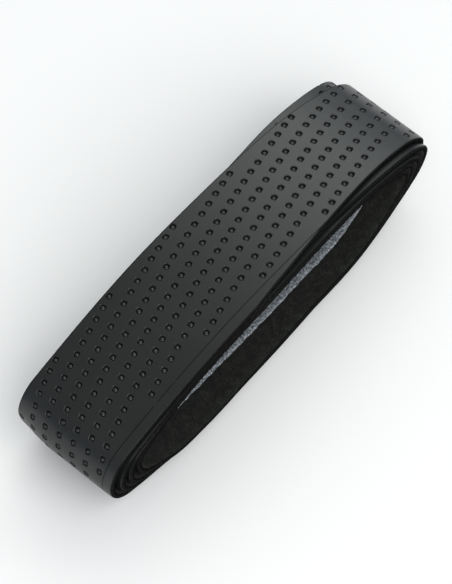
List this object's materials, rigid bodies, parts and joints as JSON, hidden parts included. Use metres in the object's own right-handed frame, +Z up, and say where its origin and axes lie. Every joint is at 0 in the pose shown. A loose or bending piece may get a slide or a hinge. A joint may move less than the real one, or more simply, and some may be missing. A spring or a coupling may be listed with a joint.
{
  "type": "grip tape roll",
  "caption": "Black perforated racket grip tape with a felt backing, wound into a flattened open coil that lies flat, with a tapered loose outer end that peels away.",
  "frame": {"origin": "middle of the bounding box in X and Y, on the surface that the coil lies on", "axes": "+X along the coil towards the bend with the loose outer end, +Y across the tape, +Z up from the flat underside to the arched top"},
  "size_m": [0.109, 0.027, 0.0287],
  "materials": {
    "cover": "satin perforated polyurethane, black",
    "backing": "matte pressed felt, black",
    "adhesive": "dull tacky film",
    "liner": "grey release film, slightly crinkled"
  },
  "bodies": {
    "coil": {"perforated_cover": "cover", "felt_backing": "backing", "adhesive_strip": "adhesive", "release_liner": "liner"},
    "loose_end": {"perforated_cover_loose_end": "cover", "felt_backing_loose_end": "backing", "adhesive_strip_loose_end": "adhesive", "release_liner_loose_end": "liner"}
  },
  "joints": [
    {"name": "loose_end_peel", "type": "hinge", "parent": "coil", "child": "loose_end", "pos_m": [0.04725, 0, 0.02279], "axis": [0, -1, 0], "range_deg": [0, 90], "stiffness_Nm_per_rad": 0.0004}
  ]
}
